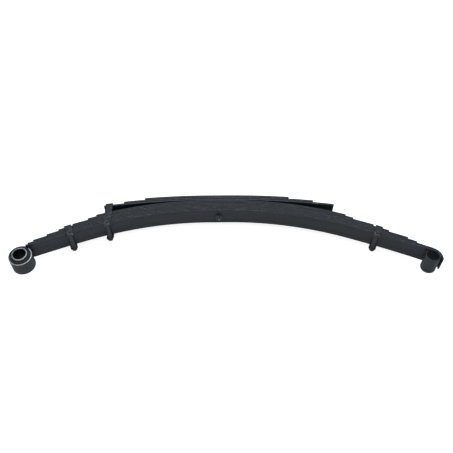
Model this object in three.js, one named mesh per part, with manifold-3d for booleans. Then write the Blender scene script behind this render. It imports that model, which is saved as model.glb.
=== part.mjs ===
// Multi-leaf rear spring with overload leaves, lying on its side.
//
// Units are millimetres. +X runs along the spring from the bushed front eye to the open rear eye,
// +Y points away from the hollow side, towards the axle, and +Z is up, along the axes of the eyes.
// The origin is the centre of the centre bolt's head, on its end face, which locates the axle.

import * as THREE from 'three';
import { mergeVertices } from 'three/addons/utils/BufferGeometryUtils.js';
import Module from 'manifold-3d';

const wasm = await Module();
wasm.setup();

const DEGREE = Math.PI / 180;

// ---- Driving dimensions ---------------------------------------------------------------------

const leafWidth = 70;
const gap = 0.3; // clear space between any two pieces that touch
const edgeChamfer = 0.9;
const seatHalf = 30; // the flat stretch at the centre, each way from the bolt

// How much each facet of a curve turns.
const facetAngle = 1.5 * DEGREE;
const tipFacetAngle = 0.7 * DEGREE;
const kickFacetAngle = 4 * DEGREE;
const eyeFacetAngle = 10 * DEGREE;

// How many sides stand in for a circle.
const postSides = 24;
const domeSides = 24;
const bushSides = 40;
const facingSides = 48;
const strapCornerSegments = 5;

const roundingSlack = 1e-6; // keeps a turn of a whole number of facets from gaining one
const cutOverrun = 1; // how far a cutting tool runs past the face that it cuts
const weldDistance = 1e-4;

// Main leaf 1's middle line is a round arc as far as arcEnd and a much flatter one beyond it.
const main = { thickness: 5.2, radius: 1202, arcEnd: 430, tipRadius: 3500 };
const overload = { thickness: 7, radius: 2400 }; // radius of the overload leaf next to the main pack
const mainPitch = main.thickness + gap;
const overloadPitch = overload.thickness + gap;

// How far each main leaf reaches from the bolt, towards the front and towards the rear.
// Leaf 1 ends in the eyes and leaf 2 wraps the rear eye, so their own reaches aren't listed.
const leafReaches = [
  { front: 602, rear: 643 },
  { front: 562, rear: 617 },
  { front: 527, rear: 560 },
  { front: 484, rear: 513 },
  { front: 436, rear: 449 },
  { front: 410, rear: 426 },
];
const overloadReaches = [
  { front: 388, rear: 391 }, // next to the main pack
  { front: 322, rear: 322 },
  { front: 252, rear: 240 }, // next to the axle
];

// Leaf 1 kicks back a little before it rolls into each eye.
const frontEye = { x: -635, innerRadius: 32, width: 54, kick: 19 * DEGREE, kickRadius: 120 };
const rearEye = { x: 684, innerRadius: 19.5, kick: 7 * DEGREE, kickRadius: 120 };
const secondLeafKick = 9 * DEGREE; // leaf 2's front end follows leaf 1 this far into its kick
const eyeSlot = 3; // gap between the rolled end of an eye and the leaf that it returns to
const wrapSlack = 4.5; // extra radius of leaf 2's wrap, so that it clears the rear eye
const wrapEnd = 16 * DEGREE; // how far the wrap reaches past the rear end of the eye
const wrapTaper = 10 * DEGREE; // the wrap's sides draw in towards its end

const boltRadius = 6;
const boltClearance = 0.3;
const centreHead = { radius: 12, height: 6, neck: 1.5 };
const centreNut = { acrossFlats: 19, height: 10, boltTail: 4 };

const bush = { flangeRadius: 33.5, flange: 5, lip: 1.5 };
const sleeve = { outerRadius: 25, innerRadius: 20, length: 74, chamfer: 1 };

const strap = { width: 24, thickness: 4.5, sideGap: 0.5, corner: 7, overhang: 18, tipCorner: 5 };
const clipBolt = { radius: 5, headAcrossFlats: 16, headHeight: 6.5, tail: 3, belowLeaf: 8.2 };
const clipNut = { acrossFlats: 16, height: 8 };
const spacerRadius = 7.5;
const rivet = {
  radius: 4,
  headRadius: 7.5,
  headHeight: 4,
  shoulder: { radius: 6, height: 2.8 },
  crownRadius: 3,
};

// Each clip is riveted to one leaf, counted from the hollow side, and its ears reach past leaf 1.
// The ears lean towards the front by this share of their depth.
const clips = [
  { name: 'front_clip', x: -497, leaf: 4, pack: 'main', lean: 0 },
  { name: 'middle_clip', x: -370, leaf: 2, pack: 'overload', lean: 0.13 },
  { name: 'rear_clip', x: 528, leaf: 4, pack: 'main', lean: 0.04 },
];

// ---- Where the leaves lie at the centre ------------------------------------------------------

const mainCount = leafReaches.length + 2;
const overloadCount = overloadReaches.length;
const seatY = -centreHead.height;
const overloadY = (index) => seatY - overload.thickness / 2 - index * overloadPitch;
const packTopY = seatY - overloadCount * overloadPitch;
const mainY = (index) => packTopY - main.thickness / 2 - (mainCount - 1 - index) * mainPitch;
const hollowFaceY = mainY(0) - main.thickness / 2;
const overloadRadius = (index) => overload.radius + (overloadCount - 1 - index) * overloadPitch;

// ---- Materials -------------------------------------------------------------------------------

const finishes = {
  paint: { color: 0x35383d, roughness: 0.45, metalness: 0.3 },
  hardware: { color: 0x3d4045, roughness: 0.4, metalness: 0.5 },
  rubber: { color: 0x161616, roughness: 0.8, metalness: 0 },
  sleeveSteel: { color: 0xc9ccd0, roughness: 0.3, metalness: 0.9 },
};

const spring = new THREE.Group();

function addMesh(name, geometry, finish, parent = spring) {
  const mesh = new THREE.Mesh(geometry, new THREE.MeshStandardMaterial(finishes[finish]));
  mesh.name = name;
  parent.add(mesh);
  return mesh;
}

// ---- Solids ----------------------------------------------------------------------------------

function toSolid(geometry) {
  const bare = geometry.clone();
  bare.deleteAttribute('normal');
  bare.deleteAttribute('uv');
  const merged = mergeVertices(bare, weldDistance);
  return new wasm.Manifold(
    new wasm.Mesh({
      numProp: 3,
      vertProperties: new Float32Array(merged.attributes.position.array),
      triVerts: new Uint32Array(merged.index.array),
    }),
  );
}

function toGeometry(solid) {
  const { vertProperties, triVerts } = solid.getMesh();
  const geometry = new THREE.BufferGeometry();
  geometry.setAttribute('position', new THREE.BufferAttribute(vertProperties, 3));
  geometry.setIndex(new THREE.BufferAttribute(triVerts, 1));
  geometry.computeVertexNormals();
  return geometry;
}

function subtract(geometry, ...tools) {
  let solid = toSolid(geometry);
  for (const tool of tools) {
    solid = solid.subtract(toSolid(tool));
  }
  return toGeometry(solid);
}

function unite(...geometries) {
  const [first, ...others] = geometries.map(toSolid);
  return toGeometry(others.reduce((whole, next) => whole.add(next), first));
}

// A cylinder along Z, from one height to another.
function post(radius, from, to, sides = postSides) {
  const geometry = new THREE.CylinderGeometry(radius, radius, to - from, sides);
  geometry.rotateX(Math.PI / 2);
  return geometry.translate(0, 0, (from + to) / 2);
}

function hexPost(acrossFlats, from, to) {
  return post(acrossFlats / Math.sqrt(3), from, to, 6);
}

// A ring or knob turned about Z from a profile of [radius, height] pairs.
function turned(profile, sides) {
  const points = profile.map(([radius, height]) => new THREE.Vector2(radius, height));
  const geometry = new THREE.LatheGeometry(points, sides);
  return geometry.rotateX(Math.PI / 2);
}

function closedProfile(corners) {
  return [...corners, corners[0]];
}

// A piece that stands along Z is laid along Y, with its top towards the axle.
const alongY = (geometry) => geometry.rotateX(-Math.PI / 2);

// ---- Leaves ----------------------------------------------------------------------------------

// A path follows the middle line of one half of a leaf outwards from the flat seat, with the hollow
// side on its right. Every station has a place and a heading; a leaf of the front half is
// traced the same way and mirrored afterwards.
const startPath = (y) => [{ x: seatHalf, y, heading: 0 }];

// Extends a path by an arc. A positive turn bends it towards the hollow side.
function addArc(path, radius, turn, step = facetAngle) {
  const last = path[path.length - 1];
  const side = Math.sign(turn);
  const centre = {
    x: last.x + side * radius * Math.sin(last.heading),
    y: last.y - side * radius * Math.cos(last.heading),
  };
  const count = Math.max(1, Math.ceil(Math.abs(turn) / step - roundingSlack));
  for (let i = 1; i <= count; i += 1) {
    const heading = last.heading - (turn * i) / count;
    path.push({
      x: centre.x - side * radius * Math.sin(heading),
      y: centre.y + side * radius * Math.cos(heading),
      heading,
    });
  }
  return path;
}

// The main leaves turn about shared centres, so they lie at a steady distance from each other.
const arcTurn = Math.asin((main.arcEnd - seatHalf) / main.radius);

function mainTurn(index, reach) {
  const radius = main.radius + index * mainPitch;
  const turn = Math.asin((reach - seatHalf) / radius);
  if (turn < arcTurn) {
    return turn;
  }
  const arcReach = seatHalf + radius * Math.sin(arcTurn);
  return Math.asin((reach - arcReach) / (main.tipRadius + index * mainPitch) + Math.sin(arcTurn));
}

function mainPath(index, turn) {
  const path = startPath(mainY(index));
  addArc(path, main.radius + index * mainPitch, Math.min(turn, arcTurn));
  if (turn > arcTurn) {
    addArc(path, main.tipRadius + index * mainPitch, turn - arcTurn, tipFacetAngle);
  }
  return path;
}

const mainHalf = (index, reach) => mainPath(index, mainTurn(index, reach));

function overloadHalf(index, reach) {
  const radius = overloadRadius(index);
  const turn = Math.asin((reach - seatHalf) / radius);
  return addArc(startPath(overloadY(index)), radius, turn);
}

// The kick lifts the end of the leaf back towards the axle's side before the eye is rolled.
function kickedPath(index, eye, turn, kick = eye.kick) {
  return addArc(mainPath(index, turn), eye.kickRadius - index * mainPitch, -kick, kickFacetAngle);
}

function eyeCentre(eye, turn) {
  const path = kickedPath(0, eye, turn);
  const { x, y, heading } = path[path.length - 1];
  const rollRadius = eye.innerRadius + main.thickness / 2;
  return { x: x + rollRadius * Math.sin(heading), y: y - rollRadius * Math.cos(heading) };
}

// The turn of the leaf's curve that puts the eye's centre at its stated distance from the bolt.
function turnToEye(eye) {
  const tolerance = 1e-9;
  let low = 0;
  let high = 45 * DEGREE;
  while (high - low > tolerance) {
    const middle = (low + high) / 2;
    if (eyeCentre(eye, middle).x < Math.abs(eye.x)) {
      low = middle;
    } else {
      high = middle;
    }
  }
  return low;
}

const frontCentre = { x: frontEye.x, y: eyeCentre(frontEye, turnToEye(frontEye)).y };
const rearCentre = { x: rearEye.x, y: eyeCentre(rearEye, turnToEye(rearEye)).y };

function eyeHalf(eye) {
  const path = kickedPath(0, eye, turnToEye(eye));
  const outerRadius = eye.innerRadius + main.thickness;
  const mouth = Math.acos(eye.innerRadius / outerRadius) + eyeSlot / outerRadius;
  return addArc(path, eye.innerRadius + main.thickness / 2, 2 * Math.PI - mouth, eyeFacetAngle);
}

function wrapHalf() {
  const path = kickedPath(1, rearEye, turnToEye(rearEye));
  const start = path[path.length - 1].heading;
  const radius = rearEye.innerRadius + main.thickness / 2 + mainPitch + wrapSlack;
  return addArc(path, radius, Math.PI / 2 + start + wrapEnd, eyeFacetAngle);
}

// The outline of a leaf, from its front end along the convex face to its rear end and back.
function leafOutline(frontHalf, rearHalf, thickness) {
  const face = (path, offset, mirror) =>
    path.map(({ x, y, heading }) => {
      const place = new THREE.Vector2(x - Math.sin(heading) * offset, y + Math.cos(heading) * offset);
      return mirror ? place.setX(-place.x) : place;
    });
  const half = thickness / 2;
  return [
    ...face(frontHalf, half, true).reverse(),
    ...face(rearHalf, half, false),
    ...face(rearHalf, -half, false).reverse(),
    ...face(frontHalf, -half, true),
  ];
}

function leafGeometry(frontHalf, rearHalf, thickness) {
  const shape = new THREE.Shape(leafOutline(frontHalf, rearHalf, thickness));
  const geometry = new THREE.ExtrudeGeometry(shape, {
    depth: leafWidth - 2 * edgeChamfer,
    bevelEnabled: true,
    bevelSegments: 1,
    bevelSize: edgeChamfer,
    bevelThickness: edgeChamfer,
    bevelOffset: -edgeChamfer,
  });
  return geometry.translate(0, 0, edgeChamfer - leafWidth / 2);
}

function centreBoltHole() {
  return alongY(post(boltRadius + boltClearance, hollowFaceY - cutOverrun, cutOverrun));
}

// The rivet of a clip goes through the leaf that carries the clip.
function rivetHoles(pack, index) {
  const depth = overload.thickness; // past both faces of either kind of leaf
  return clips
    .filter((clip) => clip.pack === pack && clip.leaf === index)
    .map((clip) => placeOnLeaf(alongY(post(rivet.radius + boltClearance, -depth, depth)), clip));
}

// The front eye is faced narrower than the leaf that it is rolled from, to seat the bush.
function frontEyeFacing() {
  const reach = frontEye.innerRadius + main.thickness + cutOverrun;
  const depth = leafWidth / 2;
  return [-1, 1].map((side) => {
    const cutter = post(reach, -depth / 2, depth / 2, facingSides);
    return cutter.translate(frontCentre.x, frontCentre.y, (side * (frontEye.width + depth)) / 2);
  });
}

// Trims both sides of the wrap, from the rear eye's centre onwards.
function wrapTapering() {
  const reach = 2 * (rearEye.innerRadius + main.thickness + mainPitch + wrapSlack);
  return [-1, 1].map((side) => {
    const plate = new THREE.BoxGeometry(reach, 2 * reach, reach);
    plate.translate(reach / 2, 0, (side * reach) / 2).rotateY(side * wrapTaper);
    return plate.translate(rearCentre.x, rearCentre.y, (side * leafWidth) / 2);
  });
}

function addMainLeaves() {
  const first = leafGeometry(eyeHalf(frontEye), eyeHalf(rearEye), main.thickness);
  addMesh('main_leaf_1', subtract(first, centreBoltHole(), ...frontEyeFacing()), 'paint');

  const secondFront = kickedPath(1, frontEye, turnToEye(frontEye), secondLeafKick);
  const second = leafGeometry(secondFront, wrapHalf(), main.thickness);
  addMesh('main_leaf_2', subtract(second, centreBoltHole(), ...wrapTapering()), 'paint');

  leafReaches.forEach(({ front, rear }, i) => {
    const index = i + 2;
    const geometry = leafGeometry(mainHalf(index, front), mainHalf(index, rear), main.thickness);
    const holes = [centreBoltHole(), ...rivetHoles('main', index)];
    addMesh(`main_leaf_${index + 1}`, subtract(geometry, ...holes), 'paint');
  });
}

function addOverloadLeaves() {
  overloadReaches.forEach(({ front, rear }, i) => {
    const index = overloadCount - 1 - i;
    const halves = [overloadHalf(index, front), overloadHalf(index, rear)];
    const geometry = leafGeometry(...halves, overload.thickness);
    const holes = [centreBoltHole(), ...rivetHoles('overload', index)];
    addMesh(`overload_leaf_${i + 1}`, subtract(geometry, ...holes), 'paint');
  });
}

// ---- Centre bolt -----------------------------------------------------------------------------

function addCentreBolt() {
  const tailY = hollowFaceY - gap - centreNut.height - centreNut.boltTail;
  const profile = [
    [0, gap - centreHead.height],
    [centreHead.radius, gap - centreHead.height],
    [centreHead.radius, -centreHead.neck],
    [centreHead.radius - centreHead.neck, 0],
    [0, 0],
  ];
  const head = turned(profile, bushSides);
  const shank = post(boltRadius, tailY, -centreHead.height / 2);
  addMesh('centre_bolt', alongY(unite(head, shank)), 'hardware');
}

// A hexagon nut along Z, with a clear hole for its bolt.
function nutGeometry({ acrossFlats, height }, radius, top) {
  const blank = hexPost(acrossFlats, top - height, top);
  const hole = post(radius + boltClearance, top - height - cutOverrun, top + cutOverrun);
  return subtract(blank, hole);
}

function addCentreNut() {
  addMesh('centre_bolt_nut', alongY(nutGeometry(centreNut, boltRadius, hollowFaceY - gap)), 'hardware');
}

// ---- Front eye bush --------------------------------------------------------------------------

function addFrontBush(eye) {
  const outer = frontEye.innerRadius - gap;
  const inner = sleeve.outerRadius + gap;
  const seat = frontEye.width / 2 + gap;
  const face = seat + bush.flange;
  const upperHalf = [
    [outer, seat],
    [bush.flangeRadius, seat],
    [bush.flangeRadius, face - bush.lip],
    [bush.flangeRadius - bush.lip, face],
    [inner, face],
  ];
  const lowerHalf = upperHalf.map(([radius, height]) => [radius, -height]).reverse();
  const profile = closedProfile([...lowerHalf, ...upperHalf]);
  addMesh('front_eye_bush', turned(profile, bushSides), 'rubber', eye);
}

function addFrontSleeve(eye) {
  const end = sleeve.length / 2;
  const profile = closedProfile([
    [sleeve.innerRadius, -end],
    [sleeve.outerRadius - sleeve.chamfer, -end],
    [sleeve.outerRadius, sleeve.chamfer - end],
    [sleeve.outerRadius, end - sleeve.chamfer],
    [sleeve.outerRadius - sleeve.chamfer, end],
    [sleeve.innerRadius, end],
  ]);
  addMesh('front_eye_sleeve', turned(profile, bushSides), 'sleeveSteel', eye);
}

function addFrontEyeFittings() {
  const eye = new THREE.Group();
  eye.position.set(frontCentre.x, frontCentre.y, 0);
  spring.add(eye);
  addFrontBush(eye);
  addFrontSleeve(eye);
}

// ---- Clips -----------------------------------------------------------------------------------

// The middle line of the leaf that carries a clip, at the clip.
function clipStation(clip) {
  const reach = Math.abs(clip.x);
  const path = clip.pack === 'main' ? mainHalf(clip.leaf, reach) : overloadHalf(clip.leaf, reach);
  const { y, heading } = path[path.length - 1];
  return { x: clip.x, y, tilt: Math.sign(clip.x) * heading };
}

function placeOnLeaf(geometry, clip) {
  const { x, y, tilt } = clipStation(clip);
  return geometry.rotateZ(tilt).translate(x, y, 0);
}

// How far below the carrying leaf's middle line the hollow face of leaf 1 lies at a clip.
function depthToHollowFace(clip) {
  if (clip.pack === 'main') {
    return clip.leaf * mainPitch + main.thickness / 2;
  }
  const { x, y, tilt } = clipStation(clip);
  const inner = main.radius - main.thickness / 2;
  const centreX = Math.sign(x) * seatHalf;
  const centreY = mainY(0) - main.radius;
  const across = (x - centreX) * Math.cos(tilt) + (y - centreY) * Math.sin(tilt);
  const along = -(x - centreX) * Math.sin(tilt) + (y - centreY) * Math.cos(tilt);
  const depthAt = (offset) => along - Math.sqrt(inner * inner - (across + offset) ** 2);
  return depthAt(-clip.lean * (depthAt(0) + clipBolt.belowLeaf));
}

// The places that all pieces of one clip share, in the clip's own frame on its leaf.
function clipLayout(clip) {
  const depth = depthToHollowFace(clip);
  const leafHalf = (clip.pack === 'main' ? main.thickness : overload.thickness) / 2;
  const boltY = -depth - clipBolt.belowLeaf;
  const inner = leafWidth / 2 + strap.sideGap;
  return {
    lean: clip.lean,
    leafHalf,
    top: leafHalf + gap,
    bottom: -depth - strap.overhang,
    boltX: clip.lean * boltY,
    boltY,
    inner,
    outer: inner + strap.thickness,
  };
}

function strapOutline({ top, bottom, inner, outer }) {
  const cornerX = outer - strap.corner;
  const cornerY = top + strap.thickness - strap.corner;
  const shape = new THREE.Shape();
  shape.moveTo(-outer, bottom);
  shape.lineTo(-inner, bottom);
  shape.lineTo(-inner, top);
  shape.lineTo(inner, top);
  shape.lineTo(inner, bottom);
  shape.lineTo(outer, bottom);
  shape.lineTo(outer, cornerY);
  shape.absarc(cornerX, cornerY, strap.corner, 0, Math.PI / 2);
  shape.lineTo(-cornerX, top + strap.thickness);
  shape.absarc(-cornerX, cornerY, strap.corner, Math.PI / 2, Math.PI);
  return shape;
}

// Cuts the two corners off both ears' tips.
function earTipCuts({ lean, bottom }) {
  return [-1, 1].map((side) => {
    const cut = new THREE.BoxGeometry(2 * strap.tipCorner, 2 * strap.tipCorner, 2 * leafWidth);
    cut.rotateZ(Math.PI / 4);
    return cut.translate(lean * bottom + (side * strap.width) / 2, bottom, 0);
  });
}

function strapGeometry(layout) {
  const { top, outer, lean, boltX, boltY } = layout;
  const blank = new THREE.ExtrudeGeometry(strapOutline(layout), {
    depth: strap.width,
    bevelEnabled: false,
    curveSegments: strapCornerSegments,
  });
  blank.translate(0, 0, -strap.width / 2).rotateY(Math.PI / 2);
  blank.applyMatrix4(new THREE.Matrix4().makeShear(0, 0, lean, 0, 0, 0));
  const boltHole = post(clipBolt.radius + boltClearance, -outer - cutOverrun, outer + cutOverrun);
  const rivetTop = top + strap.thickness + cutOverrun;
  const rivetHole = alongY(post(rivet.radius + boltClearance, -cutOverrun, rivetTop));
  return subtract(blank, boltHole.translate(boltX, boltY, 0), rivetHole, ...earTipCuts(layout));
}

function clipBoltGeometry({ outer }) {
  const headBottom = outer + gap;
  const tail = -outer - gap - clipNut.height - clipBolt.tail;
  const shank = post(clipBolt.radius, tail, headBottom + cutOverrun);
  const head = hexPost(clipBolt.headAcrossFlats, headBottom, headBottom + clipBolt.headHeight);
  return unite(shank, head);
}

function spacerGeometry({ inner }) {
  const end = inner - gap;
  const bore = post(clipBolt.radius + boltClearance, -inner - cutOverrun, inner + cutOverrun);
  return subtract(post(spacerRadius, -end, end), bore);
}

function rivetGeometry({ leafHalf, top }) {
  const base = top + strap.thickness + gap;
  const profile = [
    [0, -leafHalf],
    [rivet.radius, -leafHalf],
    [rivet.radius, base],
    [rivet.headRadius, base],
    [rivet.shoulder.radius, base + rivet.shoulder.height],
    [rivet.crownRadius, base + rivet.headHeight],
    [0, base + rivet.headHeight],
  ];
  return alongY(turned(profile, domeSides));
}

function addClip(clip) {
  const { x, y, tilt } = clipStation(clip);
  const group = new THREE.Group();
  group.position.set(x, y, 0);
  group.rotation.z = tilt;
  spring.add(group);

  const layout = clipLayout(clip);
  const onBoltLine = (geometry) => geometry.translate(layout.boltX, layout.boltY, 0);
  const nut = nutGeometry(clipNut, clipBolt.radius, -layout.outer - gap);
  addMesh(`${clip.name}_strap`, strapGeometry(layout), 'hardware', group);
  addMesh(`${clip.name}_bolt`, onBoltLine(clipBoltGeometry(layout)), 'hardware', group);
  addMesh(`${clip.name}_nut`, onBoltLine(nut), 'hardware', group);
  addMesh(`${clip.name}_spacer`, onBoltLine(spacerGeometry(layout)), 'hardware', group);
  addMesh(`${clip.name}_rivet`, rivetGeometry(layout), 'hardware', group);
}

// ---- Assembly --------------------------------------------------------------------------------

addMainLeaves();
addOverloadLeaves();
addCentreBolt();
addCentreNut();
addFrontEyeFittings();
clips.forEach(addClip);

export default spring;
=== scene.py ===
import math

import bmesh
import bpy
import numpy as np
from mathutils import Matrix, Vector


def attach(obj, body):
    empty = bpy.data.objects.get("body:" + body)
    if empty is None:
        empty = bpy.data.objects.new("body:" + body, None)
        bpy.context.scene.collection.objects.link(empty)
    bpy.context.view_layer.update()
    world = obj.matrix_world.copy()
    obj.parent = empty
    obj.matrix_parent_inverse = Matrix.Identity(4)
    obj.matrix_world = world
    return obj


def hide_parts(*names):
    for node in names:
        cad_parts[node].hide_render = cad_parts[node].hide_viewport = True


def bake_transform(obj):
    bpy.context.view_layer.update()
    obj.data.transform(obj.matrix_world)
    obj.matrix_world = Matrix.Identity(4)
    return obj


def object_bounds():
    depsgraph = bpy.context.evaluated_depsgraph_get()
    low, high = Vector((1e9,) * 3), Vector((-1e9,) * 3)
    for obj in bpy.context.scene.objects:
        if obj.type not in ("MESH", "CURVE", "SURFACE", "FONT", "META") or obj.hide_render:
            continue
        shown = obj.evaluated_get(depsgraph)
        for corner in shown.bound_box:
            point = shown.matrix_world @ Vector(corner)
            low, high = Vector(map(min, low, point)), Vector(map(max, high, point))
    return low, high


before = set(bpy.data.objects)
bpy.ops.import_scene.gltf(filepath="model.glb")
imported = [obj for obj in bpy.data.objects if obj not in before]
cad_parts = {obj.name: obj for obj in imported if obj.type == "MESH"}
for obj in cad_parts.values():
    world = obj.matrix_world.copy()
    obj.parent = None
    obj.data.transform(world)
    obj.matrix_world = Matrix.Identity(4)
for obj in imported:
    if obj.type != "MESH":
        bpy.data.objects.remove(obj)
cad_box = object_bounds()

# A multi-leaf rear spring lying on its side. Metres throughout, in the CAD model's frame: +X runs
# from the bushed front eye to the open rear eye, +Y towards the axle, +Z up along the eyes' axes.

# ---- Dimensions, as in the CAD model ---------------------------------------------------------

LEAF_WIDTH = 0.070
GAP = 0.0003
SEAT_HALF = 0.030
MAIN_THICKNESS = 0.0052
MAIN_RADIUS = 1.202
MAIN_ARC_END = 0.430
MAIN_TIP_RADIUS = 3.5
MAIN_PITCH = MAIN_THICKNESS + GAP
OVERLOAD_THICKNESS = 0.007
OVERLOAD_RADIUS = 2.4
OVERLOAD_PITCH = OVERLOAD_THICKNESS + GAP
LEAF_REACHES = (  # main leaves 3 to 8: towards the front, towards the rear
    (0.602, 0.643),
    (0.562, 0.617),
    (0.527, 0.560),
    (0.484, 0.513),
    (0.436, 0.449),
    (0.410, 0.426),
)
OVERLOAD_REACHES = ((0.388, 0.391), (0.322, 0.322), (0.252, 0.240))
FRONT_EYE = {"x": 0.635, "inner": 0.032, "kick": math.radians(19), "kick_radius": 0.120}
REAR_EYE = {"x": 0.684, "inner": 0.0195, "kick": math.radians(7), "kick_radius": 0.120}
FRONT_EYE_WIDTH = 0.054
SECOND_LEAF_KICK = math.radians(9)
EYE_SLOT = 0.003
WRAP_SLACK = 0.0045
WRAP_END = math.radians(16)
WRAP_TAPER = math.radians(10)

CENTRE_HEAD = {"radius": 0.012, "height": 0.006, "neck": 0.0015}
CENTRE_HEAD_RING = 0.004  # radius of a ring of points that divides the head's flat end face
CENTRE_BOLT_RADIUS = 0.006
CENTRE_NUT = {"across_flats": 0.019, "height": 0.010, "tail": 0.004}
BUSH = {"flange_radius": 0.0335, "flange": 0.005, "lip": 0.0015}
SLEEVE = {"outer": 0.025, "inner": 0.020, "length": 0.074, "chamfer": 0.001}
STRAP = {"width": 0.024, "thickness": 0.0045, "side_gap": 0.0005, "corner": 0.007, "overhang": 0.018}
CLIP_BOLT = {
    "radius": 0.005,
    "across_flats": 0.016,
    "height": 0.0065,
    "tail": 0.003,
    "below_leaf": 0.0082,
}
CLIP_NUT_HEIGHT = 0.008
SPACER_RADIUS = 0.0075
RIVET = {"radius": 0.004, "head_radius": 0.0075, "head_height": 0.004}
CLIPS = (
    {"name": "front_clip", "x": -0.497, "leaf": 4, "pack": "main", "lean": 0.0},
    {"name": "middle_clip", "x": -0.370, "leaf": 2, "pack": "overload", "lean": 0.13},
    {"name": "rear_clip", "x": 0.528, "leaf": 4, "pack": "main", "lean": 0.04},
)

# Finer shape than the CAD model's.
LEAF_STEP = math.radians(0.5)
TIP_STEP = math.radians(0.2)
KICK_STEP = math.radians(1.5)
EYE_STEP = math.radians(4)
EDGE_DEPTH = 0.0014  # how far the rolled side edges of a leaf bulge
FACED_EDGE_DEPTH = 0.0004  # the same on the machined sides of the front eye
EDGE_SEGMENTS = 8
EDGE_WEAR_POWER = 3  # a higher power keeps the wear closer to the corners of the rolled edge
WEAR_BAND = 0.0018  # how far worn paint reaches from an edge
END_CORNER = 0.003
END_BEVEL = 0.0008
END_WEAR = 0.5  # how worn the very end of a leaf is
ROUNDED_ROWS = np.array([0, 0.03, 0.12, 0.3, 0.6, 1])  # rows along a rounded end, in shares of its radius
CUTTER_CLEARANCE = 0.001  # between the front eye's rim and the facing cutter's edge
SHOULDER_STEP = 0.0002  # half the length over which leaf 1 narrows to its faced eye
STRAP_TIP_RADIUS = 0.009
ROUND_SIDES = 72
EYE_SIDES = 96
SHARP_ANGLE = math.radians(32)  # steeper edges than this are shaded as edges
FULL_WEAR_ANGLE = math.radians(40)  # edges this steep carry full wear
LEAF_SHIFT = 3.7  # sets the texture of each leaf apart from its neighbours'

# Where each flexing half starts to leave the seat, and where it moves fully with its arm. These are not
# used: nothing here bends the leaves.
FRONT_BEND = ((-0.04, 0.0, 0.0), (-0.60, 0.0, 0.0))
REAR_BEND = ((0.04, 0.0, 0.0), (0.64, 0.0, 0.0))

MAIN_COUNT = len(LEAF_REACHES) + 2
OVERLOAD_COUNT = len(OVERLOAD_REACHES)
SEAT_Y = -CENTRE_HEAD["height"]
PACK_TOP_Y = SEAT_Y - OVERLOAD_COUNT * OVERLOAD_PITCH


def main_y(index):
    return PACK_TOP_Y - MAIN_THICKNESS / 2 - (MAIN_COUNT - 1 - index) * MAIN_PITCH


def overload_y(index):
    return SEAT_Y - OVERLOAD_THICKNESS / 2 - index * OVERLOAD_PITCH


HOLLOW_FACE_Y = main_y(0) - MAIN_THICKNESS / 2

# ---- Paths of the leaves' middle lines -------------------------------------------------------
# A path runs outwards from the seat as (x, y, heading) and is mirrored for the front half.


def add_arc(path, radius, turn, step):
    """Extends a path by an arc. A positive turn bends it towards the hollow side."""
    x, y, heading = path[-1]
    side = math.copysign(1, turn)
    centre_x = x + side * radius * math.sin(heading)
    centre_y = y - side * radius * math.cos(heading)
    count = max(1, math.ceil(abs(turn) / step))
    for i in range(1, count + 1):
        angle = heading - turn * i / count
        x = centre_x - side * radius * math.sin(angle)
        y = centre_y + side * radius * math.cos(angle)
        path.append((x, y, angle))
    return path


ARC_TURN = math.asin((MAIN_ARC_END - SEAT_HALF) / MAIN_RADIUS)


def main_turn(index, reach):
    radius = MAIN_RADIUS + index * MAIN_PITCH
    turn = math.asin((reach - SEAT_HALF) / radius)
    if turn < ARC_TURN:
        return turn
    arc_reach = SEAT_HALF + radius * math.sin(ARC_TURN)
    return math.asin((reach - arc_reach) / (MAIN_TIP_RADIUS + index * MAIN_PITCH) + math.sin(ARC_TURN))


def main_path(index, turn):
    path = [(SEAT_HALF, main_y(index), 0.0)]
    add_arc(path, MAIN_RADIUS + index * MAIN_PITCH, min(turn, ARC_TURN), LEAF_STEP)
    if turn > ARC_TURN:
        add_arc(path, MAIN_TIP_RADIUS + index * MAIN_PITCH, turn - ARC_TURN, TIP_STEP)
    return path


def main_half(index, reach):
    return main_path(index, main_turn(index, reach))


def overload_half(index, reach):
    radius = OVERLOAD_RADIUS + (OVERLOAD_COUNT - 1 - index) * OVERLOAD_PITCH
    path = [(SEAT_HALF, overload_y(index), 0.0)]
    return add_arc(path, radius, math.asin((reach - SEAT_HALF) / radius), LEAF_STEP)


def kicked_path(index, eye, turn, kick=None):
    radius = eye["kick_radius"] - index * MAIN_PITCH
    return add_arc(main_path(index, turn), radius, -(kick or eye["kick"]), KICK_STEP)


def eye_centre(eye, turn):
    x, y, heading = kicked_path(0, eye, turn)[-1]
    radius = eye["inner"] + MAIN_THICKNESS / 2
    return x + radius * math.sin(heading), y - radius * math.cos(heading)


def turn_to_eye(eye):
    """The turn of leaf 1's curve that puts the eye's centre at its stated distance from the bolt."""
    halvings = 40
    low = 0.0
    high = math.radians(45)
    for _ in range(halvings):
        middle = (low + high) / 2
        if eye_centre(eye, middle)[0] < eye["x"]:
            low = middle
        else:
            high = middle
    return low


def eye_half(eye):
    outer = eye["inner"] + MAIN_THICKNESS
    mouth = math.acos(eye["inner"] / outer) + EYE_SLOT / outer
    path = kicked_path(0, eye, turn_to_eye(eye))
    return add_arc(path, eye["inner"] + MAIN_THICKNESS / 2, 2 * math.pi - mouth, EYE_STEP)


def wrap_half():
    path = kicked_path(1, REAR_EYE, turn_to_eye(REAR_EYE))
    radius = REAR_EYE["inner"] + MAIN_THICKNESS / 2 + MAIN_PITCH + WRAP_SLACK
    return add_arc(path, radius, math.pi / 2 + path[-1][2] + WRAP_END, EYE_STEP)


FRONT_CENTRE = eye_centre(FRONT_EYE, turn_to_eye(FRONT_EYE))

# ---- Mesh tools ------------------------------------------------------------------------------


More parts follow.
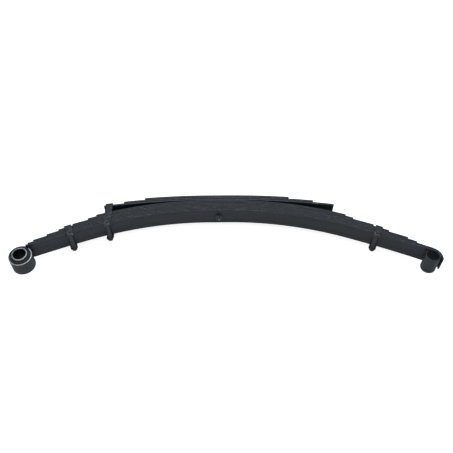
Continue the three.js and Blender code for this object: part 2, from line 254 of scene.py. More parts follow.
def loft(rings, places=None, wear=None, wrap=False):
    """A closed shell through rings of points: wrapped round into a ring, or capped at both ends."""
    rings = np.asarray(rings, float)
    count, size = rings.shape[:2]
    faces = []
    for i in range(count if wrap else count - 1):
        a = i * size
        b = (i + 1) % count * size
        faces += [(a + j, a + (j + 1) % size, b + (j + 1) % size, b + j) for j in range(size)]
    if not wrap:
        faces.append(tuple(range(size))[::-1])
        faces.append(tuple((count - 1) * size + j for j in range(size)))
    flat = rings.reshape(-1, 3)
    return {
        "points": flat,
        "faces": faces,
        "places": flat if places is None else np.asarray(places, float).reshape(-1, 3),
        "wear": None if wear is None else np.asarray(wear, float).ravel(),
    }


def corner_wear(mesh):
    """1 at points on sharp convex edges and 0 on smooth ones."""
    cage = bmesh.new()
    cage.from_mesh(mesh)
    steepest = [
        max((e.calc_face_angle_signed(0.0) for e in v.link_edges if len(e.link_faces) == 2), default=0.0)
        for v in cage.verts
    ]
    cage.free()
    return np.clip(np.array(steepest) / FULL_WEAR_ANGLE, 0, 1)


def outward(mesh):
    """Turns every face of a closed mesh to face out."""
    cage = bmesh.new()
    cage.from_mesh(mesh)
    bmesh.ops.recalc_face_normals(cage, faces=cage.faces)
    cage.to_mesh(mesh)
    cage.free()


def piece(name, shells, materials, nodes, matrix=None):
    """One Blender object from closed shells, standing for its CAD nodes.

    The attribute "place" tells the textures where a point lies: along its leaf, or on the piece
    before it is moved into position. "wear" is how worn the point is. Shells that bring no wear
    get it from their corners.
    """
    points = np.concatenate([s["points"] for s in shells])
    faces = []
    base = 0
    for shell in shells:
        faces += [tuple(base + i for i in face) for face in shell["faces"]]
        base += len(shell["points"])
    mesh = bpy.data.meshes.new(name)
    mesh.from_pydata(points.tolist(), [], faces)
    outward(mesh)
    mesh.polygons.foreach_set("use_smooth", [True] * len(mesh.polygons))
    mesh.set_sharp_from_angle(angle=SHARP_ANGLE)
    wear = shells[0]["wear"]
    if wear is None:
        wear = corner_wear(mesh)
    places = np.concatenate([s["places"] for s in shells])
    mesh.attributes.new("place", "FLOAT_VECTOR", "POINT").data.foreach_set("vector", places.ravel())
    mesh.attributes.new("wear", "FLOAT", "POINT").data.foreach_set("value", wear)
    for material in materials:
        mesh.materials.append(material)
    if matrix is not None:
        mesh.transform(matrix)
    made = bpy.data.objects.new(name, mesh)
    bpy.context.scene.collection.objects.link(made)
    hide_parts(*nodes)
    return made


def arc_points(centre, radius, start, end, steps=6):
    """Points along an arc between two angles in degrees."""
    angles = np.radians(np.linspace(start, end, steps + 1))
    return [(centre[0] + radius * math.cos(a), centre[1] + radius * math.sin(a)) for a in angles]


def turned(profile, sides=ROUND_SIDES, wrap=False):
    """A shell turned about Z from (radius, height) pairs."""
    angles = np.linspace(0, 2 * math.pi, sides, endpoint=False)
    rings = [[(r * math.cos(a), r * math.sin(a), h) for a in angles] for r, h in profile]
    return loft(rings, wrap=wrap)


def corner_inset(distance, radius):
    """How far a rounded corner draws a side in at a distance from the end."""
    if distance >= radius:
        return 0.0
    return radius - math.sqrt(radius * radius - (radius - distance) ** 2)


# ---- Leaves ----------------------------------------------------------------------------------


def leaf_section(half_thickness, half_width, depth):
    """Points round a leaf's section as (offset from the middle line, z, wear)."""
    flat = half_width - depth
    inner = flat - WEAR_BAND
    angles = np.linspace(math.pi / 2, -math.pi / 2, EDGE_SEGMENTS + 1)
    side = [
        (half_thickness * math.sin(a), flat + depth * math.cos(a), abs(math.sin(a)) ** EDGE_WEAR_POWER)
        for a in angles
    ]
    upper = [(half_thickness, z, 0.0) for z in (-inner, inner)]
    lower = [(-half_thickness, z, 0.0) for z in (inner, -inner)]
    return upper + side + lower + [(n, -z, w) for n, z, w in reversed(side)]


def leaf_stations(path, extra=()):
    """Rows of (length, x, y, heading): the path from the centre out, with close rows at its end."""
    rows = np.array([(0.0, path[0][1], 0.0)] + path)
    length = np.concatenate([[0.0], np.cumsum(np.hypot(*np.diff(rows[:, :2], axis=0).T))])
    end = length[-1]
    close = end - END_CORNER * ROUNDED_ROWS[::-1]
    kept = length[length < close[0] - END_CORNER / 2]
    at = np.unique(np.concatenate([kept, close, extra]))
    return np.column_stack([at] + [np.interp(at, length, rows[:, k]) for k in range(3)])


def leaf_rings(path, thickness, mirror, shape_at, shift, extra=()):
    """Rings, texture places and wear along one half of a leaf. The shift sets its texture apart."""
    rows = leaf_stations(path, extra)
    rings, places, wear = [], [], []
    for length, x, y, heading in rows:
        left = rows[-1][0] - length
        half_width, depth = shape_at(length, x)
        half_width -= corner_inset(left, END_CORNER)
        half_thickness = thickness / 2 - corner_inset(left, END_BEVEL)
        section = leaf_section(half_thickness, half_width, depth)
        normal = (-math.sin(heading), math.cos(heading))
        end_wear = END_WEAR * max(0.0, 1 - left / END_BEVEL)
        rings.append([(mirror * (x + normal[0] * n), y + normal[1] * n, z) for n, z, _ in section])
        places.append([(mirror * length + shift, z, n + shift) for n, z, _ in section])
        wear.append([max(w, end_wear) for _, _, w in section])
    return rings, places, wear


# A shape gives half a leaf's width and its edge depth, from the length along the leaf and from x.


def plain_leaf(_length, _x):
    return LEAF_WIDTH / 2, EDGE_DEPTH


def tapered_wrap(_length, x):
    return LEAF_WIDTH / 2 - max(0.0, x - REAR_EYE["x"]) * math.tan(WRAP_TAPER), EDGE_DEPTH


def faced_eye(shoulder):
    """Leaf 1 is narrower and square-edged from the shoulder onwards, where its eye is faced."""

    def shape(length, _x):
        if length > shoulder:
            return FRONT_EYE_WIDTH / 2, FACED_EDGE_DEPTH
        return LEAF_WIDTH / 2, EDGE_DEPTH

    return shape


def shoulder_length(path):
    """The length along leaf 1 at which the facing cutter's radius meets it."""
    samples = 8000
    reach = FRONT_EYE["inner"] + MAIN_THICKNESS + CUTTER_CLEARANCE
    rows = leaf_stations(path)
    fine = np.linspace(SEAT_HALF, rows[-1][0], samples)
    x = np.interp(fine, rows[:, 0], rows[:, 1])
    y = np.interp(fine, rows[:, 0], rows[:, 2])
    near = np.hypot(x - FRONT_EYE["x"], y - FRONT_CENTRE[1]) < reach
    return fine[np.argmax(near)]


def machined_faces(made, shoulder):
    """Gives the flat sides of the front eye the bare steel finish."""
    on_side = FRONT_EYE_WIDTH / 2 - 2 * FACED_EDGE_DEPTH
    place = made.data.attributes["place"].data
    for polygon in made.data.polygons:
        middle = sum((place[v].vector for v in polygon.vertices), Vector()) / polygon.loop_total
        if on_side < abs(middle.y) < FRONT_EYE_WIDTH / 2 and -middle.x > shoulder:
            polygon.material_index = 1


def make_main_leaves(paint, bare_steel):
    eye_path = eye_half(FRONT_EYE)
    shoulder = shoulder_length(eye_path)
    beside_shoulder = (shoulder - SHOULDER_STEP, shoulder + SHOULDER_STEP)
    second_path = kicked_path(1, FRONT_EYE, turn_to_eye(FRONT_EYE), SECOND_LEAF_KICK)
    # The front and rear half of each leaf: its path, its shape and the rows that its shape asks for.
    leaves = [
        [(eye_path, faced_eye(shoulder), beside_shoulder), (eye_half(REAR_EYE), plain_leaf, ())],
        [(second_path, plain_leaf, ()), (wrap_half(), tapered_wrap, ())],
    ]
    for index, reaches in enumerate(LEAF_REACHES, start=2):
        leaves.append([(main_half(index, reach), plain_leaf, ()) for reach in reaches])
    sides = (("front", -1, "front_arm", FRONT_BEND), ("rear", 1, "rear_arm", REAR_BEND))
    for index, halves in enumerate(leaves):
        for (side, mirror, arm, bend), (path, shape, extra) in zip(sides, halves):
            rings = leaf_rings(path, MAIN_THICKNESS, mirror, shape, index * LEAF_SHIFT, extra)
            name = f"leaf_{index + 1}_{side}"
            nodes = [f"main_leaf_{index + 1}"]
            made = piece(name, [loft(*rings)], [paint, bare_steel], nodes)
            if name == "leaf_1_front":
                machined_faces(made, shoulder)
            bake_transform(made)


def make_overload_leaves(paint):
    for i, (front, rear) in enumerate(OVERLOAD_REACHES):
        index = OVERLOAD_COUNT - 1 - i
        shift = -(i + 1) * LEAF_SHIFT
        ahead = leaf_rings(overload_half(index, front), OVERLOAD_THICKNESS, -1, plain_leaf, shift)
        behind = leaf_rings(overload_half(index, rear), OVERLOAD_THICKNESS, 1, plain_leaf, shift)
        joined = [a[::-1] + b[1:] for a, b in zip(ahead, behind)]
        nodes = [f"overload_leaf_{i + 1}"]
        made = piece(f"overload_{i + 1}", [loft(*joined)], [paint], nodes)
        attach(made, "leaf_pack")


# ---- Bolts and nuts --------------------------------------------------------------------------

HEX_CHAMFER = math.tan(math.radians(30))
HEX_FACE = 0.95  # width of a hexagon's round end face, in shares of its width across the flats
HEX_EDGE = {"width": 0.0008, "depth": 0.0002}  # the softened rim of that face
HEX_DISH = {"share": 0.6, "depth": 0.0004}  # the hollow in the end of a bolt's head
BORE_CHAMFER = 0.0008
THREAD_PITCH = 0.0015
THREAD_DEPTH = 0.0007
THREAD_TIP = 1.4  # how far the chamfer of a thread's end reaches, in depths of the thread
RINGS_PER_TURN = 8
FEWEST_RINGS = 8
HEAD_EDGE = 0.0004  # chamfer round the base of the centre bolt's head
HEAD_OVERLAP = 0.001  # how far a shank runs on into its head
NUT_OVERLAP = 0.002  # how far a bolt's modelled thread reaches up into its nut

ALONG_Y = Matrix.Rotation(-math.pi / 2, 4, "X")  # lays a piece along Y, its top towards the axle


def hex_outline(across_flats, angles):
    sector = (angles + math.pi / 6) % (math.pi / 3) - math.pi / 6
    return across_flats / 2 / np.cos(sector)


def ring_at(radius, height, angles):
    x = radius * np.cos(angles)
    y = radius * np.sin(angles)
    return np.column_stack([x, y, height * np.ones_like(angles)])


def hex_shell(across_flats, low, high, bore=None):
    """A hexagon along Z whose corners are chamfered at both ends. A nut also has a bore."""
    angles = np.linspace(0, 2 * math.pi, ROUND_SIDES, endpoint=False)
    outline = hex_outline(across_flats, angles)
    face = HEX_FACE * across_flats / 2
    rim = face - HEX_EDGE["width"]
    edge = HEX_EDGE["depth"]
    drop = (outline - face) * HEX_CHAMFER
    rings = [
        ring_at(rim, low, angles),
        ring_at(face, low + edge, angles),
        ring_at(outline, low + drop + edge, angles),
        ring_at(outline, high - drop - edge, angles),
        ring_at(face, high - edge, angles),
        ring_at(rim, high, angles),
    ]
    if bore is None:
        rings.append(ring_at(HEX_DISH["share"] * face, high - HEX_DISH["depth"], angles))
        return loft(rings)
    rings.append(ring_at(bore + BORE_CHAMFER, high, angles))
    rings.append(ring_at(bore, high - BORE_CHAMFER, angles))
    rings.append(ring_at(bore, low + BORE_CHAMFER, angles))
    rings.append(ring_at(bore + BORE_CHAMFER, low, angles))
    return loft(rings, wrap=True)


def threaded_shell(radius, low, high):
    """A threaded rod along Z with a chamfered lower end."""
    angles = np.linspace(0, 2 * math.pi, ROUND_SIDES // 2, endpoint=False)
    count = max(FEWEST_RINGS, round((high - low) / THREAD_PITCH * RINGS_PER_TURN))
    rings = []
    for height in np.linspace(low, high, count + 1):
        phase = (height / THREAD_PITCH - angles / (2 * math.pi)) % 1
        groove = THREAD_DEPTH * (1 - np.abs(2 * phase - 1))
        tip = max(0.0, THREAD_DEPTH * THREAD_TIP - (height - low))
        rings.append(ring_at(np.minimum(radius - groove, radius - tip), height, angles))
    return loft(rings)


def rod_shell(radius, low, high):
    return turned([(radius, low), (radius, high)])


def make_centre_bolt(steel):
    nut_top = HOLLOW_FACE_Y - GAP
    nut_low = nut_top - CENTRE_NUT["height"]
    tail_low = nut_low - CENTRE_NUT["tail"]
    radius = CENTRE_HEAD["radius"]
    neck = CENTRE_HEAD["neck"]
    base = GAP - CENTRE_HEAD["height"]
    profile = [(radius - HEAD_EDGE, base), (radius, base + HEAD_EDGE)]
    profile += arc_points((radius - neck, -neck), neck, 0, 90)
    profile.append((CENTRE_HEAD_RING, 0.0))
    shells = [
        turned(profile),
        rod_shell(CENTRE_BOLT_RADIUS, nut_low, base + HEAD_OVERLAP),
        threaded_shell(CENTRE_BOLT_RADIUS, tail_low, nut_low + NUT_OVERLAP),
    ]
    hexagon = hex_shell(CENTRE_NUT["across_flats"], nut_low, nut_top, CENTRE_BOLT_RADIUS + GAP)
    bolt = piece("centre_bolt_body", shells, [steel], ["centre_bolt"], ALONG_Y)
    nut = piece("centre_nut", [hexagon], [steel], ["centre_bolt_nut"], ALONG_Y)
    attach(bolt, "leaf_pack")
    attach(nut, "leaf_pack")


# ---- Front eye -------------------------------------------------------------------------------

BUSH_EDGE = 0.0006  # chamfer of the flange, on the side towards the eye
BUSH_STEP = {"outer": 0.0022, "inner": 0.0014, "depth": 0.0007, "floor": 0.0009}  # beside the sleeve
IN_FRONT_EYE = Matrix.Translation((-FRONT_EYE["x"], FRONT_CENTRE[1], 0))


def ring_shell(upper):
    """A ring about Z from the upper half of its profile, which the lower half mirrors."""
    lower = [(r, -h) for r, h in reversed(upper)]
    return turned(lower + upper, EYE_SIDES, wrap=True)


def make_bush(rubber):
    outer = FRONT_EYE["inner"] - GAP
    inner = SLEEVE["outer"] + GAP
    seat = FRONT_EYE_WIDTH / 2 + GAP
    face = seat + BUSH["flange"]
    flange = BUSH["flange_radius"]
    lip = BUSH["lip"]
    upper = [(outer, seat), (flange - BUSH_EDGE, seat), (flange, seat + BUSH_EDGE)]
    upper += arc_points((flange - lip, face - lip), lip, 0, 90)
    upper += [
        (inner + BUSH_STEP["outer"], face),
        (inner + BUSH_STEP["inner"], face - BUSH_STEP["depth"]),
        (inner, face - BUSH_STEP["floor"]),
    ]
    made = piece("bush", [ring_shell(upper)], [rubber], ["front_eye_bush"], IN_FRONT_EYE)
    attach(made, "front_arm")


def make_sleeve(steel):
    half = SLEEVE["length"] / 2
    chamfer = SLEEVE["chamfer"]
    outer = SLEEVE["outer"]
    inner = SLEEVE["inner"]
    upper = arc_points((outer - chamfer, half - chamfer), chamfer, 0, 90)
    upper += [(inner + chamfer, half), (inner, half - chamfer)]
    shells = [ring_shell(upper)]
    made = piece("sleeve", shells, [steel], ["front_eye_sleeve"], IN_FRONT_EYE)
    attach(made, "front_sleeve")


# ---- Clips -----------------------------------------------------------------------------------

STRAP_TIP_INSET = STRAP_TIP_RADIUS - 0.001  # the most that the rounding takes off each side of an ear
STRAP_EDGE = 0.0009
STRAP_ROWS = 6  # rows along each straight stretch, both ends included
STRAP_CORNER_STEPS = 7
SPACER_CHAMFER = 0.0006
SPACER_END_ROW = 0.002  # how far the first row between a spacer's ends lies from its end
SPACER_ROWS = 5
RIVET_EDGE = 0.0003
RIVET_DOME = np.radians(np.linspace(8, 84, 9))


def clip_station(clip):
    """The middle line of the leaf that carries a clip: x, y and tilt at the clip."""
    half = main_half if clip["pack"] == "main" else overload_half
    _, y, heading = half(clip["leaf"], abs(clip["x"]))[-1]
    return clip["x"], y, math.copysign(1, clip["x"]) * heading


def clip_depth(clip):
    """How far below the carrying leaf's middle line the hollow face of leaf 1 lies."""
    if clip["pack"] == "main":
        return clip["leaf"] * MAIN_PITCH + MAIN_THICKNESS / 2
    x, y, tilt = clip_station(clip)
    inner = MAIN_RADIUS - MAIN_THICKNESS / 2
    from_x = x - math.copysign(SEAT_HALF, x)
    from_y = y - (main_y(0) - MAIN_RADIUS)
    across = from_x * math.cos(tilt) + from_y * math.sin(tilt)
    along = from_y * math.cos(tilt) - from_x * math.sin(tilt)

    def depth_at(offset):
        return along - math.sqrt(inner * inner - (across + offset) ** 2)

    return depth_at(-clip["lean"] * (depth_at(0) + CLIP_BOLT["below_leaf"]))


def strap_path(top, bottom, half):
    """The strap's middle line up one ear, over the leaves and down the other, as (z, y)."""
    radius = STRAP["corner"] - STRAP["thickness"] / 2
    tip = STRAP_TIP_RADIUS * ROUNDED_ROWS
    rise = np.linspace(bottom + STRAP_TIP_RADIUS, top - radius, STRAP_ROWS)[1:-1]
    up = [(-half, y) for y in np.concatenate([bottom + tip, rise])]
    over = arc_points((radius - half, top - radius), radius, 180, 90, STRAP_CORNER_STEPS)
    over += [(z, top) for z in np.linspace(radius - half, half - radius, STRAP_ROWS)[1:-1]]
    over += arc_points((half - radius, top - radius), radius, 90, 0, STRAP_CORNER_STEPS)
    return up + over + [(-z, y) for z, y in reversed(up)]


def strap_section(half_width):
    """A rounded flat bar's section as (offset across the bar, offset through it)."""
    u = half_width - STRAP_EDGE
    v = STRAP["thickness"] / 2 - STRAP_EDGE
    points = []
    for cx, cy, start in ((u, v, 0), (-u, v, 90), (-u, -v, 180), (u, -v, 270)):
        points += arc_points((cx, cy), STRAP_EDGE, start, start + 90, steps=3)
    return points


def strap_shell(top, bottom, lean):
    half = LEAF_WIDTH / 2 + STRAP["side_gap"] + STRAP["thickness"] / 2
    line = np.array(strap_path(top + STRAP["thickness"] / 2, bottom, half))
    direction = np.gradient(line, axis=0)
    direction /= np.linalg.norm(direction, axis=1)[:, None]
    travelled = np.concatenate([[0.0], np.cumsum(np.linalg.norm(np.diff(line, axis=0), axis=1))])
    rings = []
    for (z, y), (dz, dy), length in zip(line, direction, travelled):
        left = min(length, travelled[-1] - length)
        width = STRAP["width"] / 2 - min(corner_inset(left, STRAP_TIP_RADIUS), STRAP_TIP_INSET)
        section = strap_section(width)
        rings.append([(u + lean * (y + v * dz), y + v * dz, z - v * dy) for u, v in section])
    return loft(rings)


def clip_bolt_shells(head_low, nut_low):
    radius = CLIP_BOLT["radius"]
    return [
        hex_shell(CLIP_BOLT["across_flats"], head_low, head_low + CLIP_BOLT["height"]),
        rod_shell(radius, nut_low, head_low + HEAD_OVERLAP),
        threaded_shell(radius, nut_low - CLIP_BOLT["tail"], nut_low + NUT_OVERLAP),
    ]


def spacer_shell(end):
    """A tube along Z that reaches equally far to both sides of the middle."""
    bore = CLIP_BOLT["radius"] + GAP
    profile = [(SPACER_RADIUS - SPACER_CHAMFER, -end), (SPACER_RADIUS, SPACER_CHAMFER - end)]
    between = np.linspace(SPACER_END_ROW - end, end - SPACER_END_ROW, SPACER_ROWS)
    profile += [(SPACER_RADIUS, z) for z in between]
    profile += [(SPACER_RADIUS, end - SPACER_CHAMFER), (SPACER_RADIUS - SPACER_CHAMFER, end)]
    profile += [(bore, end), (bore, -end)]
    return turned(profile, wrap=True)


def rivet_shell(low, base):
    """A shank along Z under a domed head, which starts at the base."""
    radius = RIVET["radius"]
    head = RIVET["head_radius"]
    profile = [(radius, low), (radius, base), (head - RIVET_EDGE, base)]
    for angle in RIVET_DOME:
        profile.append((head * math.cos(angle), base + RIVET["head_height"] * math.sin(angle)))
    return turned(profile)


def move_clip_piece(made, clip_name):
    """The middle clip is attached to the seat's leaf pack. The others are only baked in place and attached
    to nothing.
    """
    if clip_name == "middle_clip":
        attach(made, "leaf_pack")
    elif clip_name == "front_clip":
        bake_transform(made)
    else:
        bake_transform(made)


def make_clip(clip, paint, steel):
    x, y, tilt = clip_station(clip)
    leaf_half = (MAIN_THICKNESS if clip["pack"] == "main" else OVERLOAD_THICKNESS) / 2
    depth = clip_depth(clip)
    top = leaf_half + GAP
    bolt_y = -depth - CLIP_BOLT["below_leaf"]
    inner = LEAF_WIDTH / 2 + STRAP["side_gap"]
    outer = inner + STRAP["thickness"]
    head_low = outer + GAP
    nut_high = -outer - GAP
    nut_low = nut_high - CLIP_NUT_HEIGHT

    band = strap_shell(top, -depth - STRAP["overhang"], clip["lean"])
    bolt = clip_bolt_shells(head_low, nut_low)
    nut = hex_shell(CLIP_BOLT["across_flats"], nut_low, nut_high, CLIP_BOLT["radius"] + GAP)
    spacer = spacer_shell(inner - GAP)
    rivet = rivet_shell(-leaf_half, top + STRAP["thickness"] + GAP)

    on_leaf = Matrix.Translation((x, y, 0)) @ Matrix.Rotation(tilt, 4, "Z")
    on_bolt = on_leaf @ Matrix.Translation((clip["lean"] * bolt_y, bolt_y, 0))
    name = clip["name"]
    parts = (
        ("band", [band], "clip_paint", paint, "strap", on_leaf),
        ("screw", bolt, "fastener", steel, "bolt", on_bolt),
        ("hexnut", [nut], "fastener", steel, "nut", on_bolt),
        ("tube", [spacer], "fastener", steel, "spacer", on_bolt),
        ("stud", [rivet], "fastener", steel, "rivet", on_leaf @ ALONG_Y),
    )
    for label, shells, slot, material, node, matrix in parts:
        made = piece(f"{name}_{label}", shells, [material], [f"{name}_{node}"], matrix)
        move_clip_piece(made, name)


# ---- Materials -------------------------------------------------------------------------------


class Nodes:
    """Adds shader nodes to one material. A socket given as a value becomes a link."""

    def __init__(self, name):
        self.material = bpy.data.materials.new(name)
        self.material.use_nodes = True
        self.tree = self.material.node_tree
        self.shader = self.tree.nodes["Principled BSDF"]

    def put(self, socket, value):
        if isinstance(value, bpy.types.NodeSocket):
            self.tree.links.new(value, socket)
        else:
            socket.default_value = value

    def add(self, kind, sockets, **settings):
        node = self.tree.nodes.new(kind)
        for key, value in settings.items():
            setattr(node, key, value)
        for key, value in sockets.items():
            self.put(node.inputs[key], value)
        return node

    def shade(self, **sockets):
        for key, value in sockets.items():
            self.put(self.shader.inputs[key.replace("_", " ")], value)
        return self.material

    def place(self, scale=(1, 1, 1)):
        """Where a point lies on its piece, stretched by a scale."""
        source = self.add("ShaderNodeAttribute", {}, attribute_name="place")
        sockets = {"Vector": source.outputs["Vector"], "Scale": scale}
        return self.add("ShaderNodeMapping", sockets).outputs["Vector"]

    def wear(self):
        return self.add("ShaderNodeAttribute", {}, attribute_name="wear").outputs["Fac"]

    def noise(self, vector, scale=1.0, detail=4.0, roughness=0.6):
        sockets = {"Vector": vector, "Scale": scale, "Detail": detail, "Roughness": roughness}
        return self.add("ShaderNodeTexNoise", sockets).outputs["Fac"]

    def span(self, value, low, high, to_low=0.0, to_high=1.0):
        """Maps a value between two limits, clamped."""
        sockets = {"Value": value, "From Min": low, "From Max": high, "To Min": to_low, "To Max": to_high}
        return self.add("ShaderNodeMapRange", sockets).outputs["Result"]

    def times(self, a, b):
        return self.add("ShaderNodeMath", {0: a, 1: b}, operation="MULTIPLY").outputs[0]

    def larger(self, a, b):
        return self.add("ShaderNodeMath", {0: a, 1: b}, operation="MAXIMUM").outputs[0]

    def mix(self, factor, a, b):
        # The node's colour inputs are its sockets 6 and 7, and its colour output is socket 2.
        node = self.add("ShaderNodeMix", {0: factor, 6: a, 7: b}, data_type="RGBA")
        return node.outputs[2]

    def bump(self, height, strength, distance, below=None):
        sockets = {"Height": height, "Strength": strength, "Distance": distance}
        if below is not None:
            sockets["Normal"] = below
        return self.add("ShaderNodeBump", sockets).outputs["Normal"]


def painted_steel(name, dark, light, worn, streak_scale, roughness):
    """Satin black paint over rolled steel: lengthwise streaks, fine grain and worn edges."""
    n = Nodes(name)
    streaks = n.noise(n.place(streak_scale), detail=4.0, roughness=0.55)
    patches = n.noise(n.place((12, 40, 40)), detail=3.0, roughness=0.5)
    grain = n.noise(n.place((900, 900, 900)), detail=2.0, roughness=0.6)
    scuffs = n.noise(n.place((60, 220, 260)), detail=6.0, roughness=0.7)
    tone = n.mix(n.span(streaks, 0.40, 0.64), dark, light)
    tone = n.mix(n.times(n.span(patches, 0.4, 0.7), 0.2), tone, light)
    edge = n.times(n.wear(), n.span(scuffs, 0.52, 0.64))
    marks = n.larger(edge, n.times(n.span(scuffs, 0.67, 0.74), 0.6))
    colour = n.mix(n.times(marks, 0.55), tone, worn)
    rough = n.span(streaks, 0.3, 0.7, to_low=roughness - 0.07, to_high=roughness + 0.10)
    normal = n.bump(streaks, strength=0.18, distance=0.0002)
    normal = n.bump(grain, strength=0.12, distance=0.00005, below=normal)
    return n.shade(Base_Color=colour, Roughness=rough, Normal=normal, Metallic=0.0)


def bolt_steel(name):
    """Dark plated fasteners with brighter rubbed corners."""
    plating_dark = (0.014, 0.015, 0.017, 1)
    plating_light = (0.050, 0.052, 0.058, 1)
    bare = (0.30, 0.30, 0.31, 1)
    n = Nodes(name)
    blotches = n.noise(n.place((160, 160, 160)), detail=4.0, roughness=0.6)
    grain = n.noise(n.place((1400, 1400, 1400)), detail=2.0, roughness=0.6)
    tone = n.mix(n.span(blotches, 0.35, 0.65), plating_dark, plating_light)
    rubbed = n.times(n.wear(), n.span(blotches, 0.40, 0.60))
    colour = n.mix(n.times(rubbed, 0.7), tone, bare)
    rough = n.span(blotches, 0.3, 0.7, to_low=0.30, to_high=0.50)
    normal = n.bump(grain, strength=0.2, distance=0.0001)
    return n.shade(Base_Color=colour, Roughness=rough, Normal=normal, Metallic=0.5)


def moulded_rubber(name):
    """Matt black rubber with a faint bloom."""
    black = (0.006, 0.006, 0.006, 1)
    bloomed = (0.018, 0.018, 0.019, 1)
    n = Nodes(name)
    grain = n.noise(n.place((700, 700, 700)), detail=3.0, roughness=0.6)
    bloom = n.noise(n.place((70, 70, 70)), detail=4.0, roughness=0.6)
    colour = n.mix(n.span(bloom, 0.4, 0.7), black, bloomed)
    rough = n.span(grain, 0.3, 0.7, to_low=0.62, to_high=0.85)
    normal = n.bump(grain, strength=0.3, distance=0.00015)
    return n.shade(Base_Color=colour, Roughness=rough, Normal=normal, Metallic=0.0)


def turned_steel(name, dark, light, ring_scale):
    """Machined steel with fine concentric tool marks, and painted shade darkening the bore."""
    bore_painted_shade = (0.012, 0.012, 0.013, 1)
    painted_shade_fade = {"start": 0.0001, "end": 0.0008}  # how far outside the bore the painted shade fades out
    n = Nodes(name)
    flat = n.place((1, 1, 0))
    radius = n.add("ShaderNodeVectorMath", {0: flat}, operation="LENGTH").outputs["Value"]
    height = n.add("ShaderNodeSeparateXYZ", {0: n.place()}).outputs["Z"]
    sockets = {"X": n.times(radius, ring_scale), "Y": n.times(height, ring_scale)}
    line = n.add("ShaderNodeCombineXYZ", sockets).outputs["Vector"]
    rings = n.noise(line, detail=3.0, roughness=0.6)
    stain = n.noise(n.place((110, 110, 110)), detail=4.0, roughness=0.6)
    colour = n.mix(n.span(rings, 0.3, 0.7), dark, light)
    colour = n.mix(n.times(n.span(stain, 0.55, 0.75), 0.4), colour, dark)
    # Painted shade: the bore's inner wall is coloured dark, as if in shade, fading out just past the
    # bore's edge.
    clear_of_painted_shade = n.span(radius, SLEEVE["inner"] + painted_shade_fade["start"], SLEEVE["inner"] + painted_shade_fade["end"])
    colour = n.mix(clear_of_painted_shade, bore_painted_shade, colour)
    rough = n.span(stain, 0.3, 0.7, to_low=0.24, to_high=0.42)
    normal = n.bump(rings, strength=0.25, distance=0.00008)
    return n.shade(Base_Color=colour, Roughness=rough, Normal=normal, Metallic=0.85)


def faced_steel(name):
    """The bare machined sides of the front eye, finely grained and stained."""
    clean = (0.62, 0.62, 0.63, 1)
    stained = (0.36, 0.36, 0.38, 1)
    n = Nodes(name)
    brushed = n.noise(n.place((600, 600, 600)), detail=4.0, roughness=0.6)
    stain = n.noise(n.place((60, 60, 60)), detail=4.0, roughness=0.6)
    colour = n.mix(n.span(stain, 0.35, 0.7), clean, stained)
    rough = n.span(brushed, 0.3, 0.7, to_low=0.30, to_high=0.48)
    normal = n.bump(brushed, strength=0.2, distance=0.0001)
    return n.shade(Base_Color=colour, Roughness=rough, Normal=normal, Metallic=0.6)


# ---- Camera, light and floor -----------------------------------------------------------------

CAMERA_AT = Vector((0.002, -1.3335, 1.624))
CAMERA_YAW = 0.0195
CAMERA_PITCH = 0.927
CAMERA_ROLL = 0.008
CAMERA_LENS = 47.9  # millimetres, as is the sensor
CAMERA_SENSOR = 36
FLOOR_SIZE = 60.0  # wide, so that its edge is far from the object
CLOUD_SCALE = 3.0


def make_camera():
    yaw, pitch, roll = CAMERA_YAW, CAMERA_PITCH, CAMERA_ROLL
    along = math.cos(pitch)
    forward = Vector((math.sin(yaw) * along, math.cos(yaw) * along, -math.sin(pitch)))
    level = Vector((math.cos(yaw), -math.sin(yaw), 0))
    upright = level.cross(forward)
    right = level * math.cos(roll) + upright * math.sin(roll)
    up = upright * math.cos(roll) - level * math.sin(roll)
    lens = bpy.data.cameras.new("camera")
    lens.lens = CAMERA_LENS
    lens.sensor_width = CAMERA_SENSOR
    camera = bpy.data.objects.new("camera", lens)
    turn = Matrix((right, up, -forward)).transposed().to_4x4()
    camera.matrix_world = Matrix.Translation(CAMERA_AT) @ turn
    bpy.context.scene.collection.objects.link(camera)
    bpy.context.scene.camera = camera


def soft_light(name, at, target, size, power, colour=(1, 1, 1)):
    lamp = bpy.data.lights.new(name, "AREA")
    lamp.shape = "RECTANGLE"
    lamp.size, lamp.size_y = size
    lamp.energy = power
    lamp.color = colour
    made = bpy.data.objects.new(name, lamp)
    made.location = at
    made.rotation_mode = "QUATERNION"
    made.rotation_quaternion = (Vector(target) - Vector(at)).to_track_quat("-Z", "Y")
    bpy.context.scene.collection.objects.link(made)


def make_world(light, seen):
    """Plain white surroundings, brighter where the camera looks straight at them."""
    world = bpy.data.worlds.new("studio")
    world.use_nodes = True
    tree = world.node_tree
    background = tree.nodes["Background"]
    path = tree.nodes.new("ShaderNodeLightPath")
    strength = tree.nodes.new("ShaderNodeMapRange")
    strength.inputs["To Min"].default_value = light
    strength.inputs["To Max"].default_value = seen
    tree.links.new(path.outputs["Is Camera Ray"], strength.inputs["Value"])
    tree.links.new(strength.outputs["Result"], background.inputs["Strength"])
    background.inputs["Color"].default_value = (1, 1, 1, 1)
    bpy.context.scene.world = world
    # Under the default view transform, a ground as bright as this would read as grey.
    bpy.context.scene.view_settings.view_transform = "Standard"


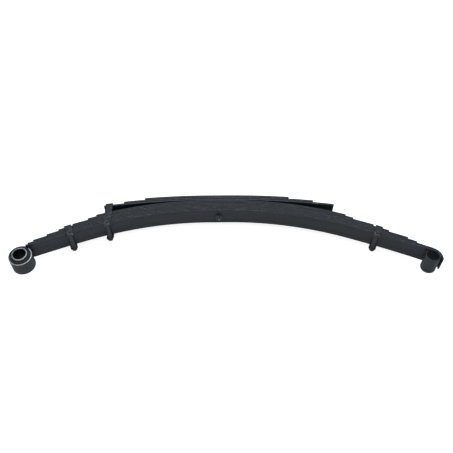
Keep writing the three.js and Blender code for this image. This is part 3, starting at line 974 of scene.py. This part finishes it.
def make_floor(height, seen):
    """A pale floor that the camera sees nearly white, with soft shadows left in it."""
    half = FLOOR_SIZE / 2
    corners = [(-half, -half, height), (half, -half, height), (half, half, height), (-half, half, height)]
    mesh = bpy.data.meshes.new("floor")
    mesh.from_pydata(corners, [], [(0, 1, 2, 3)])
    n = Nodes("floor")
    coordinates = n.add("ShaderNodeTexCoord", {}).outputs["Object"]
    cloud = n.noise(coordinates, CLOUD_SCALE)
    colour = n.mix(cloud, (0.80, 0.80, 0.80, 1), (0.84, 0.84, 0.84, 1))
    camera_ray = n.add("ShaderNodeLightPath", {}).outputs["Is Camera Ray"]
    glow = n.times(camera_ray, seen)
    n.shade(Base_Color=colour, Roughness=0.9, Emission_Color=(1, 1, 1, 1), Emission_Strength=glow)
    mesh.materials.append(n.material)
    floor = bpy.data.objects.new("floor", mesh)
    bpy.context.scene.collection.objects.link(floor)


# ---- Assembly --------------------------------------------------------------------------------

leaf_paint = painted_steel(
    "leaf_paint",
    dark=(0.0025, 0.0028, 0.0034, 1),
    light=(0.026, 0.030, 0.039, 1),
    worn=(0.30, 0.31, 0.34, 1),
    streak_scale=(4, 260, 700),
    roughness=0.44,
)
clip_paint = painted_steel(
    "clip_paint",
    dark=(0.008, 0.009, 0.011, 1),
    light=(0.028, 0.032, 0.040, 1),
    worn=(0.34, 0.36, 0.40, 1),
    streak_scale=(160, 160, 160),
    roughness=0.32,
)
fastener_steel = bolt_steel("fastener_steel")
bush_rubber = moulded_rubber("bush_rubber")
sleeve_steel = turned_steel(
    "sleeve_steel",
    dark=(0.22, 0.22, 0.24, 1),
    light=(0.46, 0.46, 0.49, 1),
    ring_scale=2600,
)
eye_steel = faced_steel("eye_steel")

make_camera()
make_main_leaves(leaf_paint, eye_steel)
make_overload_leaves(leaf_paint)
make_centre_bolt(fastener_steel)
make_bush(bush_rubber)
make_sleeve(sleeve_steel)
for clip in CLIPS:
    make_clip(clip, clip_paint, fastener_steel)

make_world(light=0.24, seen=1.0)
make_floor(cad_box[0].z, seen=0.80)
spring_middle = (0, -0.1, 0)
soft_light("overhead", (0.0, 0.5, 2.6), spring_middle, size=(2.6, 1.4), power=46, colour=(0.78, 0.89, 1.0))
soft_light("front", (-0.8, -2.4, 1.2), spring_middle, size=(1.6, 1.0), power=14)
